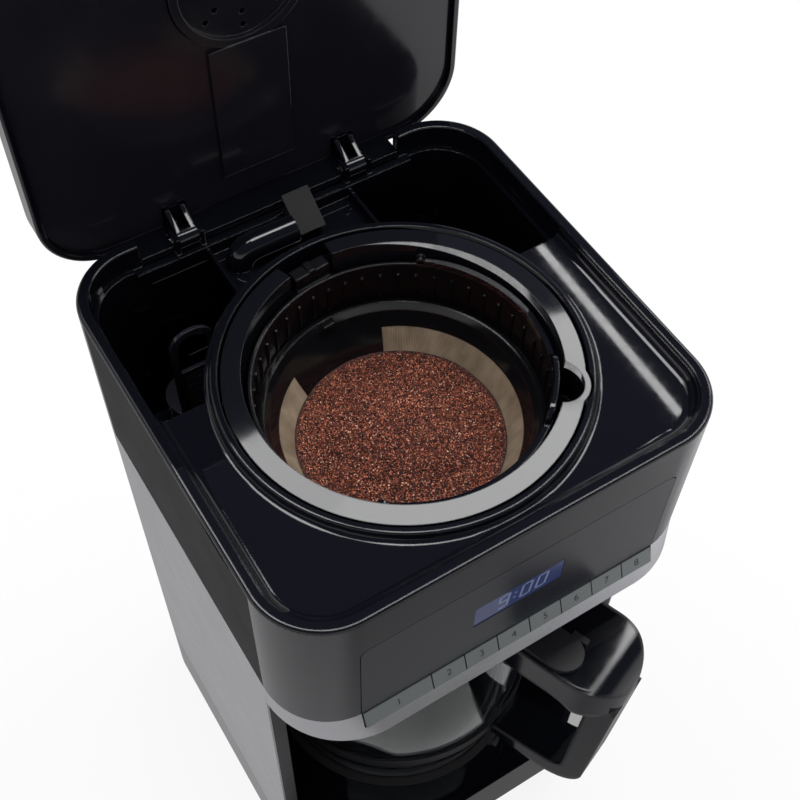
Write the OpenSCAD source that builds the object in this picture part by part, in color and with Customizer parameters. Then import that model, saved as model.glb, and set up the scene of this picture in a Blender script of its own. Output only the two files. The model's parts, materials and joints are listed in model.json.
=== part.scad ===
// Drip coffee maker with a hinged top lid, a lift-out brew basket and a glass carafe.
// Millimetres. Z is up, the front is towards -Y, and the machine stands on z = 0.
// Inside the modules x = 0, y = 0 is the middle of the footprint; on_footprint() then
// moves it so that the origin is the middle of the stored machine's bounding box.

/* [Body] */
// Width of the machine
body_w = 200; // [190:1:230]
// Depth of the machine without the lid and the carafe handle
body_d = 200; // [196:1:230]
// Radius of the upright corners
corner_r = 30; // [24:1:36]
// Height of the top rim above the table
rim_z = 345; // [330:1:370]
// Height of the base deck above the table
base_top = 44; // [42:1:52]
// Height of the underside of the head
head_under = 247; // [246:1:256]
// Height of the steel band along the bottom of the head
band_h = 16; // [15:1:20]
// Wall of the moulded housings
wall = 2.5; // [2:0.1:3]
// Thickness of the steel sheet
steel_t = 1; // [0.8:0.1:1.2]
// Distance from the footprint's middle forward to the bounding box's middle
frame_shift = 9.5; // [5:0.5:15]

/* [Carafe bay] */
// Gap between the carafe and the bay's back wall
bay_gap = 2; // [1.5:0.1:5]
// Thickness of the side cheeks
cheek_t = 7; // [5:0.5:8]
// Flat length of the sides in front of the middle
cheek_front = 70; // [60:1:70]

/* [Feet and base] */
// Height of the rubber feet
foot_h = 4; // [3:0.5:6]
// Radius of a rubber foot
foot_r = 9; // [7:0.5:11]
// Distance of a foot's middle from the nearest side and from the front or rear
foot_in = 24; // [20:1:32]
// Thickness of the bottom cover
cover_t = 2.5; // [2:0.1:3]
// Shank radius of the bottom screws
screw_r = 1.5; // [1.3:0.1:1.8]
// Bore radius of the cord gland
gland_bore_r = 3.6; // [3:0.1:4.5]

/* [Brewing] */
// Y of the brewing axis
brew_y = -12; // [-16:1:-8]
// Outer radius of the flat ring round the brew chamber
ring_r = 71.9; // [70:0.1:73]
// Inner radius of the flat ring, which is the chamber's bore
chamber_r = 63.9; // [63:0.1:65]
// Outer radius of the brew basket's rim
basket_r = 61.9; // [60:0.1:62.5]
// Depth of the basket's rim below the top rim
basket_drop = 12.3; // [11:0.1:14]
// Outer radius of the coffee filter's rim
filter_r = 57.1; // [54:0.1:58.5]
// Depth of the filter's rim below the top rim
filter_drop = 33.5; // [30:0.5:36]
// Half angle of the filter's cone
cone_deg = 30.5; // [28:0.5:32]
// Radius of the finger notch in the ring
notch_r = 10; // [8:0.5:11]
// Direction of the finger notch and of the basket handle's grip
notch_deg = -39; // [-50:1:-30]
// Travel of the drip stop valve
valve_travel = 3; // [2:0.5:3.5]

/* [Warming plate] */
// Radius of the warming plate
plate_r = 66; // [60:1:68]
// Middle radius of the horseshoe heater
heater_r = 45; // [40:1:48]
// Distance of the two water pipes from the middle
pipe_x = 25; // [22:0.5:30]

/* [Control panel] */
// Width of the display panel
panel_w = 145; // [140:1:146]
// Height of the display panel's top edge below the rim
panel_drop = 23.7; // [22:0.1:30]
// Width of the display window
lcd_w = 42.5; // [36:0.5:50]
// Height of the display window
lcd_h = 15.5; // [12:0.5:18]
// Height of the window's lower edge above the steel band's seam
lcd_up = 22.5; // [16:0.5:26]
// Pitch of the narrow buttons; the wide button takes two
button_pitch = 16; // [14:0.5:16]
// Number of narrow buttons
narrow_buttons = 7; // [5:1:7]
// Height of a button along the slope
button_h = 9.6; // [8:0.1:10]
// Gap between neighbouring buttons and round them
button_gap = 0.6; // [0.4:0.1:0.8]
// Gap round the display panel
panel_gap = 0.35; // [0.2:0.05:0.5]
// Travel of a button
button_travel = 0.6; // [0.4:0.1:0.8]
// How far the steel band's lower edge stands in front of the panel
band_proud = 5.7; // [4:0.1:7]

/* [Lid] */
// Thickness of the lid
lid_t = 15; // [12:0.5:18]
// Gap between the closed lid and the rim
lid_gap = 0.8; // [0.6:0.1:1.2]
// Height of the hinge axis below the rim
hinge_drop = 7.5; // [7:0.1:8]
// Distance of the hinge axis in front of the rear face
hinge_in = 3.5; // [3.5:0.1:4]
// Radius of the hinge pins
hinge_pin_r = 2; // [1.5:0.1:2.2]
// Half width of the recess for the hinge in the rear rim
hinge_half = 64; // [58:1:66]

/* [Carafe] */
// Belly radius of the glass
glass_r = 72.5; // [68:0.5:73]
// Wall of the glass
glass_t = 2; // [1.6:0.1:2.4]
// Neck radius of the glass
neck_r = 50; // [46:0.5:54]
// Direction of the handle, measured from the front towards the right
handle_deg = 21; // [10:1:25]
// Reach of the handle from the carafe's axis
handle_reach = 132; // [125:1:136]
// Width of the handle's top
handle_w = 44; // [36:1:48]
// Width of the handle's grip
grip_w = 24; // [20:1:28]
// Height of the widest part of the glass above its foot
belly_up = 42; // [36:1:48]
// Height of the neck above the glass's foot
neck_up = 148; // [140:1:152]
// Height of the glass's upright neck
neck_h = 14; // [12:1:16]

/* [Fits] */
// Gap between parts that move past each other
run_gap = 0.3; // [0.3:0.05:0.4]
// Radial clearance of a pin in its bore
pin_gap = 0.06; // [0.03:0.01:0.1]
// Gap round a piece that sits in a cut-out
seat_gap = 0.2; // [0.1:0.05:0.3]

/* [Hidden] */
$fn = 96;

half_w = body_w / 2;
half_d = body_d / 2;
band_top = head_under + band_h;   // seam between the steel band and the head shell
cut = 1;                          // how far a cutting solid runs past a face
shell_top = rim_z - 1.5;          // top of the head shell, under the rim's lip
rim_w = 5.2;                      // width of the rim's flat top
deck_z = rim_z - 6;               // top of the flat deck
deck_t = 2.5;
rim_round = 1.4;                  // round of the rim's outer edge
cove_r = 5;                       // hollow round between the rim and the deck
foot_cove = 2.4;                  // hollow round at the foot of the collar
tank_top = rim_z - 12;
tank_wall = 2;
tank_front = 12;                  // Y where the tank's mouth begins
tank_inner_r = ring_r + 2.1;      // the tank keeps this far from the brewing axis
ring_z = rim_z - 2.5;             // top of the chamber's flat ring
ring_t = 3;
collar_in = ring_r + 1.1;
collar_out = collar_in + 3.2;
inset = steel_t + seat_gap;       // plastic walls stand this far inside the steel
slope_deg = atan(band_proud / (band_top - head_under));
band_corner_r = corner_r + 1.4 * band_proud;   // the band's flare fades round the front corners
panel_t = 2.5;
plate_z = base_top + 1;           // underside of the warming plate, on its seal
plate_t = 2;
heater_z = base_top - 9;          // height of the heater's water tube
tube_r = 4.5;
hose_r = 6;
bend_r = 8;                       // bend of a hose's middle line
chamber_wall = 2.5;
chamber_floor = head_under + 3;
basket_rim_z = rim_z - basket_drop;
basket_floor = chamber_floor + 8;
filter_rim_z = rim_z - filter_drop;
valve_disc_z = basket_floor + 4.4;      // top of the valve's disc when it is shut
spring_shut = 4.1;                // length of the valve spring when the valve is fully lifted
guide_foot = valve_disc_z + valve_travel + spring_shut;   // underside of the bridge over the spring
guide_t = 1.8;
filter_floor = guide_foot + valve_travel + 3.5;
filter_t = 1.2;
lip_r = filter_r - 2.3;           // inner edge of the filter's rim
cone_top = filter_rim_z - 4;      // height where the filter's cone begins
bail_z = basket_rim_z + 0.5;      // underside of the folded basket handle
bail_pivot_z = bail_z + 2;
bail_t = 2.6;
hinge_y = half_d - hinge_in;
hinge_z = rim_z - hinge_drop;
arm_from = 37;                    // the lid's arms lie between these distances from the middle
arm_to = 46;
carafe_foot = plate_z + plate_t + run_gap;
belly_z = carafe_foot + belly_up;
neck_z = carafe_foot + neck_up;
glass_top = neck_z + neck_h;
collar_foot = neck_z + 1;
collar_top = glass_top + 6;
carafe_top_z = head_under - 2.6;  // highest point of the carafe's lid
handle_top = collar_top + 6;
strap_out = glass_r + 1.55;       // outer face of the strap round the belly
bay_back = brew_y + strap_out + bay_gap + 0.45;   // Y of the bay's back wall
pipe_y = (bay_back + half_d) / 2 - 2;             // Y of the two upright water pipes
foot_x = half_w - foot_in;
foot_y = half_d - foot_in;
wide_button = 2 * button_pitch;
buttons_w = wide_button + narrow_buttons * button_pitch;
switch_y = 6.2;                   // depth of the switches behind the band's slope

// ---- helpers ----

module on_footprint() {
    translate([0, frame_shift, 0]) children();
}

// A rectangle with round corners, centred on the origin.
module round_rect(w, d, r) {
    square([w, d - 2 * r], center = true);
    square([w - 2 * r, d], center = true);
    for (x = [-1, 1], y = [-1, 1])
        translate([x * (w / 2 - r), y * (d / 2 - r)]) circle(r);
}

// The machine's outline, drawn in by the given amount.
module outline(by = 0) {
    round_rect(body_w - 2 * by, body_d - 2 * by, corner_r - by);
}

module slab(z0, z1) {
    translate([0, 0, z0]) linear_extrude(z1 - z0) children();
}

// Sweeps a 2D profile round the machine's outline: x is outwards from the face, y is up.
module edge_sweep() {
    for (i = [0:3])
        rotate([0, 0, 90 * i]) {
            half = i % 2 == 0 ? half_w : half_d;
            along = i % 2 == 0 ? half_d : half_w;
            translate([half, along - corner_r, 0])
                rotate([90, 0, 0]) linear_extrude(2 * (along - corner_r)) children();
            translate([half - corner_r, along - corner_r, 0])
                rotate_extrude(angle = 90) translate([corner_r, 0]) children();
        }
}

// Points of an arc.
function arc(x, y, r, from, to, n = 6) =
    [for (i = [0:n]) let (a = from + (to - from) * i / n) [x + r * cos(a), y + r * sin(a)]];

module at_brew() {
    translate([0, brew_y, 0]) children();
}

module tube(r_out, r_in, h) {
    difference() {
        cylinder(r = r_out, h = h);
        translate([0, 0, -cut]) cylinder(r = r_in, h = h + 2 * cut);
    }
}

module at_corners(x, y) {
    for (sx = [-1, 1], sy = [-1, 1]) translate([sx * x, sy * y, 0]) children();
}

// Moves the button's own frame onto the sloping band: -Y is outwards, -Z is down the slope.
module on_slope() {
    translate([0, -half_d, band_top]) rotate([-slope_deg, 0, 0]) children();
}

// ---- base ----

boss_at = 62;

module base_housing() on_footprint() color([0.06, 0.06, 0.07]) {
    difference() {
        slab(foot_h, base_top) outline(0);
        slab(foot_h - cut, base_top - wall) outline(wall);
        at_brew() translate([0, 0, base_top - wall - cut]) cylinder(r = plate_r + 2, h = wall + 2 * cut);
        for (x = [-1, 1])
            translate([x * pipe_x, pipe_y, base_top - wall - cut])
                cylinder(r = hose_r + 1, h = wall + 2 * cut);
        translate([gland_x, half_d + cut, gland_z])
            rotate([90, 0, 0]) cylinder(r = gland_neck_r + seat_gap, h = wall + 2 * cut);
    }
    at_corners(boss_at, half_d - 14) difference() {
        slab(foot_h + cover_t, base_top - wall) circle(4.5);
        translate([0, 0, foot_h]) cylinder(r = screw_r + 0.1, h = 14);
    }
    for (x = [-1, 1])
        translate([x * clamp_x, brew_y, 0]) slab(clamp_z, base_top - wall) circle(4);
}

module bottom_cover() on_footprint() color([0.12, 0.12, 0.13]) difference() {
    slab(foot_h, foot_h + cover_t) outline(wall + seat_gap);
    at_corners(foot_x, foot_y) translate([0, 0, foot_h - cut])
        cylinder(r = foot_peg_r + seat_gap, h = cover_t + 2 * cut);
    at_corners(boss_at, half_d - 14) {
        translate([0, 0, foot_h - cut]) cylinder(r = screw_r + 0.3, h = cover_t + 2 * cut);
        translate([0, 0, foot_h - cut]) cylinder(r = screw_head_r + seat_gap, h = cut + 1.5);
    }
    for (i = [-5:5])
        translate([i * 7 - 1.5, -20, foot_h - cut]) cube([3, 40, cover_t + 2 * cut]);
}

foot_peg_r = 3;
screw_head_r = 3.2;

module rubber_feet() on_footprint() color([0.08, 0.08, 0.08])
    at_corners(foot_x, foot_y) {
        cylinder(r1 = foot_r - 1, r2 = foot_r, h = 1.2);
        slab(1.2, foot_h) circle(foot_r);
        slab(foot_h, foot_h + cover_t) circle(foot_peg_r);
    }

module bottom_screws() on_footprint() color([0.7, 0.7, 0.72])
    at_corners(boss_at, half_d - 14) difference() {
        union() {
            slab(foot_h + 0.2, foot_h + 1.5) circle(screw_head_r);
            slab(foot_h + 1.5, foot_h + 12) circle(screw_r);
        }
        for (a = [0, 90]) rotate([0, 0, a]) translate([-2, -0.35, foot_h]) cube([4, 0.7, 0.9]);
    }

gland_x = 58;
gland_z = 20;
gland_neck_r = 6.5;
gland_flange_r = 9;

module cord_gland() on_footprint() color([0.07, 0.07, 0.08])
    translate([gland_x, half_d, gland_z]) rotate([-90, 0, 0]) difference() {
        union() {
            cylinder(r = gland_flange_r, h = 2.5);
            translate([0, 0, -wall - 4]) cylinder(r = gland_neck_r, h = wall + 4);
            translate([0, 0, -wall - 4]) cylinder(r = gland_neck_r + 1.2, h = 3.8);
        }
        translate([0, 0, -wall - 4 - cut]) cylinder(r = gland_bore_r, h = wall + 6.5 + 2 * cut);
    }

// ---- heating ----

module warming_plate() on_footprint() color([0.16, 0.16, 0.17]) at_brew()
    rotate_extrude() polygon([
        [0, plate_z], [plate_r, plate_z], [plate_r, plate_z + 1], [plate_r - 1.5, plate_z + plate_t],
        [plate_r - 5, plate_z + plate_t], [plate_r - 5.6, plate_z + plate_t - groove],
        [plate_r - 7.6, plate_z + plate_t - groove], [plate_r - 8.2, plate_z + plate_t],
        [0, plate_z + plate_t]]);

groove = 0.7;                     // depth of the groove near the plate's edge

module plate_seal() on_footprint() color([0.1, 0.1, 0.1]) at_brew()
    rotate_extrude() polygon([
        [plate_r - 3, base_top - wall], [plate_r + 1.7, base_top - wall], [plate_r + 1.7, base_top],
        [plate_r + 5, base_top], [plate_r + 5, base_top + 0.6], [plate_r + 1.5, plate_z + 0.8],
        [plate_r + 0.3, plate_z + 0.8], [plate_r + 0.3, plate_z], [plate_r - 3, plate_z]]);

// The heater's ends meet the hoses at x = +-pipe_x.
heater_end = asin(pipe_x / heater_r);
heater_end_y = brew_y + heater_r * cos(heater_end);

module heater() on_footprint() color([0.72, 0.73, 0.75]) difference() {
    union() {
        at_brew() rotate([0, 0, 90 + heater_end]) rotate_extrude(angle = 360 - 2 * heater_end) {
            translate([heater_r, heater_z]) circle(tube_r);
            translate([heater_r - 6, heater_z]) square([12, plate_z - heater_z]);
        }
        heater_ends(tube_r, -1, 17);
    }
    heater_ends(tube_r - 1.2, 3, 15);
}

// The two round ends that the hoses slip over, or their bores.
module heater_ends(r, from, length) {
    for (x = [-1, 1])
        translate([x * pipe_x, heater_end_y + from, heater_z]) rotate([-90, 0, 0]) cylinder(r = r, h = length);
}

clamp_z = heater_z - tube_r;
clamp_x = 78;

module heater_clamp() on_footprint() color([0.66, 0.67, 0.7]) at_brew() {
    translate([0, 0, clamp_z - 2]) linear_extrude(2) {
        square([2 * clamp_x, 12], center = true);
        for (x = [-1, 1]) translate([x * clamp_x, 0]) circle(6);
    }
    for (x = [-1, 1]) translate([x * clamp_x, 0, clamp_z - 3.6]) cylinder(r = 2.8, h = 1.6);
}

module thermostat() on_footprint() color([0.85, 0.83, 0.78]) at_brew() {
    translate([0, 0, clamp_z - 9]) cylinder(r = 8, h = 7);
    for (x = [-1, 1]) translate([x * 5 - 2.5, -0.4, clamp_z - 15]) cube([5, 0.8, 6]);
}

board_post = 6;

module power_board() on_footprint() color([0.1, 0.35, 0.18]) {
    bottom = foot_h + cover_t;
    translate([-80, 40, bottom + board_post]) cube([44, 36, 1.6]);
    for (x = [-76, -40], y = [44, 72]) translate([x, y, bottom]) cylinder(r = 2.5, h = board_post);
    translate([-74, 46, bottom + board_post + 1.6]) cube([19, 15, 15]);
    translate([-46, 60, bottom + board_post + 1.6]) cylinder(r = 5, h = 12);
}

// A silicone hose: along Y from the heater's end, round a bend and up to the given height.
module hose(x, top) {
    start = heater_end_y + 7;
    translate([x, start, heater_z]) rotate([-90, 0, 0])
        tube(hose_r, tube_r + pin_gap, pipe_y - bend_r - start);
    translate([x, pipe_y - bend_r, heater_z + bend_r]) rotate([0, 90, 0])
        rotate_extrude(angle = 90) translate([bend_r, 0]) difference() {
            circle(hose_r);
            circle(tube_r + pin_gap);
        }
    translate([x, pipe_y, heater_z + bend_r]) tube(hose_r, tube_r + pin_gap, top - heater_z - bend_r);
}

hose_top = base_top + 12;

module inlet_hose() on_footprint() color([0.8, 0.78, 0.74]) hose(pipe_x, hose_top);

module outlet_hose() on_footprint() color([0.8, 0.78, 0.74]) hose(-pipe_x, hose_top);

// ---- column and steel ----

module bay_outline() {
    translate([-half_w + cheek_t, -half_d - cut])
        square([body_w - 2 * cheek_t, half_d + cut + bay_back]);
    translate([-half_w - cut, -half_d - cut]) square([body_w + 2 * cut, half_d + cut - cheek_front]);
}

module column_housing() on_footprint() color([0.05, 0.05, 0.06]) difference() {
    slab(base_top, head_under) difference() {
        outline(inset);
        bay_outline();
    }
    slab(base_top + wall, head_under + cut) difference() {
        outline(inset + wall);
        translate([-half_w, -half_d]) square([body_w, half_d + bay_back + wall]);
    }
    for (x = [-1, 1])
        translate([x * pipe_x, pipe_y, base_top - cut]) cylinder(r = hose_r + 1, h = wall + 2 * cut);
}

// One U-shaped sheet round both sides and the back.
module steel_wrap() on_footprint() color([0.74, 0.74, 0.76]) difference() {
    slab(base_top, band_top) difference() {
        outline(0);
        outline(steel_t);
        translate([-half_w - cut, -half_d - cut]) square([body_w + 2 * cut, half_d + cut - cheek_front]);
    }
}

// ---- head ----

module tank_lower(by) {
    intersection() {
        outline(rim_w + by);
        translate([-half_w, bay_back + wall + 0.5 + by]) square([body_w, half_d]);
    }
}

module tank_upper(by) {
    difference() {
        intersection() {
            outline(rim_w + by);
            translate([-half_w, tank_front + by]) square([body_w, half_d]);
        }
        translate([0, brew_y]) circle(tank_inner_r + by);
    }
}

module head_base() on_footprint() color([0.05, 0.05, 0.06]) difference() {
    slab(head_under, band_top) outline(inset);
    slab(head_under + 3, band_top + cut) outline(inset + wall);
    slab(head_under - cut, band_top) tank_lower(-0.5);
    at_brew() translate([0, 0, head_under - cut]) cylinder(r = 16, h = 6);
    translate([-buttons_w / 2 - 2, -half_d - cut, band_top - 12]) cube([buttons_w + 4, 8, 14]);
}

// A block between the machine's outline at the seam and the wider one at the underside.
module band_block(by, lift) {
    hull() {
        translate([0, 0, band_top - 0.01]) linear_extrude(0.01 + (lift > 0 ? cut : 0)) outline(by);
        translate([0, -band_proud / 2, head_under + lift]) linear_extrude(0.01)
            round_rect(body_w - 2 * by, body_d + band_proud - 2 * by, band_corner_r - by);
    }
}

module front_band() on_footprint() color([0.72, 0.72, 0.74]) difference() {
    band_block(0, 0);
    band_block(steel_t, steel_t);
    slab(head_under - cut, band_top + 2 * cut) outline(steel_t);
    translate([-half_w - cut, -cheek_front, head_under - cut])
        cube([body_w + 2 * cut, body_d, band_top - head_under + 3 * cut]);
    on_slope() translate([-buttons_w / 2 - button_gap / 2, -3, -button_h])
        cube([buttons_w + button_gap, 8, button_h + 6]);
}

module panel_outline(by) {
    w = panel_w - 2 * by;
    top = rim_z - panel_drop - by;
    r = 4;
    translate([-w / 2, band_top]) square([w, top - r - band_top]);
    translate([-w / 2 + r, band_top]) square([w - 2 * r, top - band_top]);
    for (x = [-1, 1]) translate([x * (w / 2 - r), top - r]) circle(r);
}

module upright_slab(y0, y1) {
    translate([0, y1, 0]) rotate([90, 0, 0]) linear_extrude(y1 - y0) children();
}

trim_t = 0.8;
scallop_y = -45;
scallop_w = 30;
scallop_h = 4;
scallop_deep = 1.6;

// A shallow finger recess in the side, just under the rim.
module finger_recess(side) {
    r = (scallop_w * scallop_w / 4 + scallop_h * scallop_h) / (2 * scallop_h);
    translate([side * half_w, scallop_y, shell_top - scallop_h + r])
        rotate([0, 90, 0]) cylinder(r = r, h = 2 * scallop_deep, center = true);
}

module head_shell() on_footprint() color([0.04, 0.04, 0.05]) difference() {
    slab(band_top, shell_top) difference() {
        outline(0);
        outline(wall);
    }
    upright_slab(-half_d - cut, -half_d + wall + cut) panel_outline(0);
    for (side = [-1, 1]) {
        translate([side * half_w, 0, (band_top + shell_top) / 2])
            cube([2 * trim_t, 2 * cheek_front, shell_top - band_top + 2 * cut], center = true);
        finger_recess(side);
    }
    translate([-hinge_half, half_d - wall - cut, tank_top])
        cube([2 * hinge_half, wall + 2 * cut, rim_z - tank_top]);
}

module side_trim(side) {
    face = side * half_w;
    inner = side * (half_w - trim_t);
    difference() {
        translate([min(face, inner), -cheek_front + seat_gap, band_top + 0.4])
            cube([trim_t, 2 * (cheek_front - seat_gap), shell_top - band_top - 0.4]);
        finger_recess(side);
    }
}

module side_trim_left() on_footprint() color([0.2, 0.2, 0.2]) side_trim(-1);

module side_trim_right() on_footprint() color([0.2, 0.2, 0.2]) side_trim(1);

// ---- display ----

lcd_z = band_top + lcd_up;

module front_panel() on_footprint() color([0.24, 0.24, 0.27]) difference() {
    upright_slab(-half_d, -half_d + panel_t) panel_outline(panel_gap);
    translate([-lcd_w / 2, -half_d - cut, lcd_z]) cube([lcd_w, panel_t + 2 * cut, lcd_h]);
    translate([-panel_w, -half_d - cut, band_top - cut]) cube([2 * panel_w, panel_t + 2 * cut, cut + 0.5]);
}

module lcd_window() on_footprint() color([0.28, 0.35, 0.62])
    translate([-lcd_w / 2 + 0.1, -half_d + 0.3, lcd_z + 0.1]) cube([lcd_w - 0.2, panel_t - 0.3, lcd_h - 0.2]);

module lcd_module() on_footprint() color([0.5, 0.55, 0.6])
    translate([-lcd_w / 2 - 4, -half_d + panel_t, lcd_z - 4]) cube([lcd_w + 8, 4.5, lcd_h + 8]);

module control_board() on_footprint() color([0.1, 0.35, 0.18]) {
    y0 = -half_d + panel_t + 4.5;
    translate([-60, y0, lcd_z - 14]) cube([120, 1.6, 46]);
    translate([-8, y0 + 1.6, lcd_z + 2]) cube([16, 2, 16]);
    for (x = [-54, 54], z = [lcd_z - 10, lcd_z + 28])
        translate([x, y0, z]) rotate([90, 0, 0]) cylinder(r = 2, h = 4.5);
}

function button_left(i) = -buttons_w / 2 + (i == 1 ? 0 : wide_button + (i - 2) * button_pitch);
function button_width(i) = i == 1 ? wide_button : button_pitch;

module button_board() on_footprint() color([0.1, 0.35, 0.18]) on_slope() {
    translate([-buttons_w / 2, switch_y + 2, -button_h - 0.5]) cube([buttons_w, 1.6, button_h]);
    for (i = [1:narrow_buttons + 1])
        translate([button_left(i) + button_width(i) / 2, switch_y + 2, -button_h / 2 - 0.4])
            rotate([90, 0, 0]) {
                translate([-3, -3, 0]) cube([6, 6, 1.6]);
                cylinder(r = 1.6, h = 2);
            }
}

module button(i) {
    w = button_width(i) - button_gap;
    on_slope() {
        translate([button_left(i) + button_gap / 2, -0.3, -button_h + 0.3])
            cube([w, 2.4, button_h - 0.7]);
        translate([button_left(i) + button_width(i) / 2, switch_y - button_travel - run_gap, -button_h / 2 - 0.4])
            rotate([90, 0, 0]) cylinder(r = 2, h = switch_y - button_travel - run_gap - 2);
    }
}

module button_1() on_footprint() color([0.5, 0.54, 0.54]) button(1);
module button_2() on_footprint() color([0.5, 0.54, 0.54]) button(2);
module button_3() on_footprint() color([0.5, 0.54, 0.54]) button(3);
module button_4() on_footprint() color([0.5, 0.54, 0.54]) button(4);
module button_5() on_footprint() color([0.5, 0.54, 0.54]) button(5);
module button_6() on_footprint() color([0.5, 0.54, 0.54]) button(6);
module button_7() on_footprint() color([0.5, 0.54, 0.54]) button(7);
module button_8() on_footprint() color([0.5, 0.54, 0.54]) button(8);

// ---- deck, tank and pipes ----

lobe_at = chamber_r - 2.4;        // distance of the notch's middle from the brewing axis
lobe_r = notch_r + 2.5;
bridge_z = rim_z - 18;            // floor of the bridge that carries the spout
rib_x = 36;
gap_deg = 19;                     // width of the gap at the back of the ring
gap_at = 95.5;                    // direction of that gap's middle
ear_t = 2;

module at_notch() {
    at_brew() rotate([0, 0, notch_deg]) translate([lobe_at, 0, 0]) children();
}

// Ears on both sides of each lid arm.
module hinge_ears(below) {
    for (side = [-1, 1], x = [arm_from - run_gap - ear_t, arm_to + run_gap])
        translate([side < 0 ? -x - ear_t : x, hinge_y - 4, tank_top - below])
            cube([ear_t, 7, hinge_z - tank_top + 4 + below]);
}

module deck_front() {
    translate([-half_w, -half_d, 0]) cube([body_w, half_d + tank_front + tank_wall, rim_z + cut]);
}

module top_deck() on_footprint() color([0.03, 0.03, 0.05]) difference() {
    union() {
        // rim with round edges and a skirt inside the walls
        edge_sweep() polygon(concat(
            [[0, shell_top]],
            arc(-rim_round, rim_z - rim_round, rim_round, 0, 90),
            arc(-rim_w + 0.8, rim_z - 0.8, 0.8, 90, 180, 4),
            [[-rim_w, tank_top], [-wall - seat_gap, tank_top], [-wall - seat_gap, shell_top]]));
        // sloping shoulder and flat deck over the front
        intersection() {
            union() {
                edge_sweep() polygon(concat(
                    [[-rim_w, deck_z + cove_r - 0.2], [-rim_w, deck_z - deck_t],
                        [-rim_w - cove_r - 1, deck_z - deck_t]],
                    arc(-rim_w - cove_r - 0.6, deck_z + cove_r, cove_r, 270, 357, 10)));
                slab(deck_z - deck_t, deck_z) outline(rim_w + cove_r + 0.5);
            }
            deck_front();
        }
        intersection() {
            translate([-half_w, tank_front, tank_top]) cube([body_w, tank_wall, deck_z - tank_top]);
            slab(tank_top, deck_z) outline(rim_w);
        }
        // collar round the brew chamber
        at_brew() rotate_extrude() polygon(concat(
            [[collar_in, tank_top], [collar_out, tank_top], [collar_out + foot_cove, deck_z - deck_t]],
            arc(collar_out + foot_cove, deck_z + foot_cove, foot_cove, 270, 180),
            arc(collar_out - 1, ring_z - 0.9, 1, 0, 90, 5),
            arc(collar_in + 0.5, ring_z - 0.4, 0.5, 90, 180, 3)));
        // bridge under the spout, with its two ribs
        translate([-rib_x, bridge_from, bridge_z - 2]) cube([2 * rib_x, half_d - rim_w - bridge_from, 2]);
        for (x = [-rib_x, rib_x - 1.5])
            translate([x, bridge_from, bridge_z - 2]) cube([1.5, 28, tank_top - bridge_z + 1]);
        // hinge ledge and ears
        translate([-ledge_half, ledge_y, bridge_z - 2])
            cube([2 * ledge_half, half_d - wall - seat_gap - ledge_y, tank_top - bridge_z + 2]);
        hinge_ears(0);
    }
    at_brew() slab(tank_top - cut, rim_z) circle(collar_in);
    at_notch() slab(tank_top - cut, rim_z) circle(lobe_r + 0.8);
    translate([-pipe_x, pipe_y, bridge_z - 2 - cut]) cylinder(r = tube_r + 0.1, h = 2 + 2 * cut);
    // recess in the rear rim for the lid's arms
    difference() {
        translate([-hinge_half, half_d - rim_w - cut, tank_top])
            cube([2 * hinge_half, rim_w + 2 * cut, rim_z - tank_top + cut]);
        hinge_ears(cut);
    }
    for (side = [-1, 1])
        translate([side < 0 ? -pin_end - cut : pin_start - cut, hinge_y, hinge_z])
            rotate([0, 90, 0]) cylinder(r = hinge_pin_r, h = pin_end - pin_start + 2 * cut);
}

bridge_from = brew_y + collar_in + 1;
ledge_half = hinge_half + 4;
ledge_y = pipe_y + 10;            // front of the ledge that carries the hinge
pin_start = arm_from - run_gap - ear_t;
pin_end = arm_to + run_gap + ear_t;

module hinge_pins() on_footprint() color([0.7, 0.7, 0.72])
    for (side = [-1, 1])
        translate([side < 0 ? -pin_end : pin_start, hinge_y, hinge_z])
            rotate([0, 90, 0]) cylinder(r = hinge_pin_r, h = pin_end - pin_start);

tank_floor = base_top + 14;
tank_step = band_top + 1;

module tank_column() on_footprint() color([0.03, 0.03, 0.05]) {
    difference() {
        slab(tank_floor, tank_step) tank_lower(0);
        slab(tank_floor + tank_wall, tank_step + cut) tank_lower(tank_wall);
        translate([pipe_x, pipe_y, tank_floor - cut]) cylinder(r = 3, h = tank_wall + 2 * cut);
        translate([-pipe_x, pipe_y, tank_floor - cut]) cylinder(r = tube_r + 0.1, h = tank_wall + 2 * cut);
    }
    translate([pipe_x, pipe_y, base_top + 2]) tube(tube_r, 3, tank_floor - base_top - 2);
}

module water_tank() on_footprint() color([0.03, 0.03, 0.05]) difference() {
    slab(tank_step, tank_top) tank_upper(0);
    slab(tank_step - cut, tank_top) tank_lower(tank_wall);
    slab(tank_step + tank_wall, tank_top + cut) tank_upper(tank_wall);
    // room for the deck's bridge and hinge ledge
    translate([-rib_x, tank_front, bridge_z - 2]) cube([2 * rib_x, half_d, tank_top]);
    translate([-ledge_half, ledge_y - 2, bridge_z - 2]) cube([2 * ledge_half, 20, tank_top]);
}

spout_z = rim_z - 11;
spout_end = 1.5;

module riser_tube() on_footprint() color([0.75, 0.76, 0.78])
    translate([-pipe_x, pipe_y, base_top + 2]) tube(tube_r, 3.2, spout_z - 8 - base_top - 2);

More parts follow.
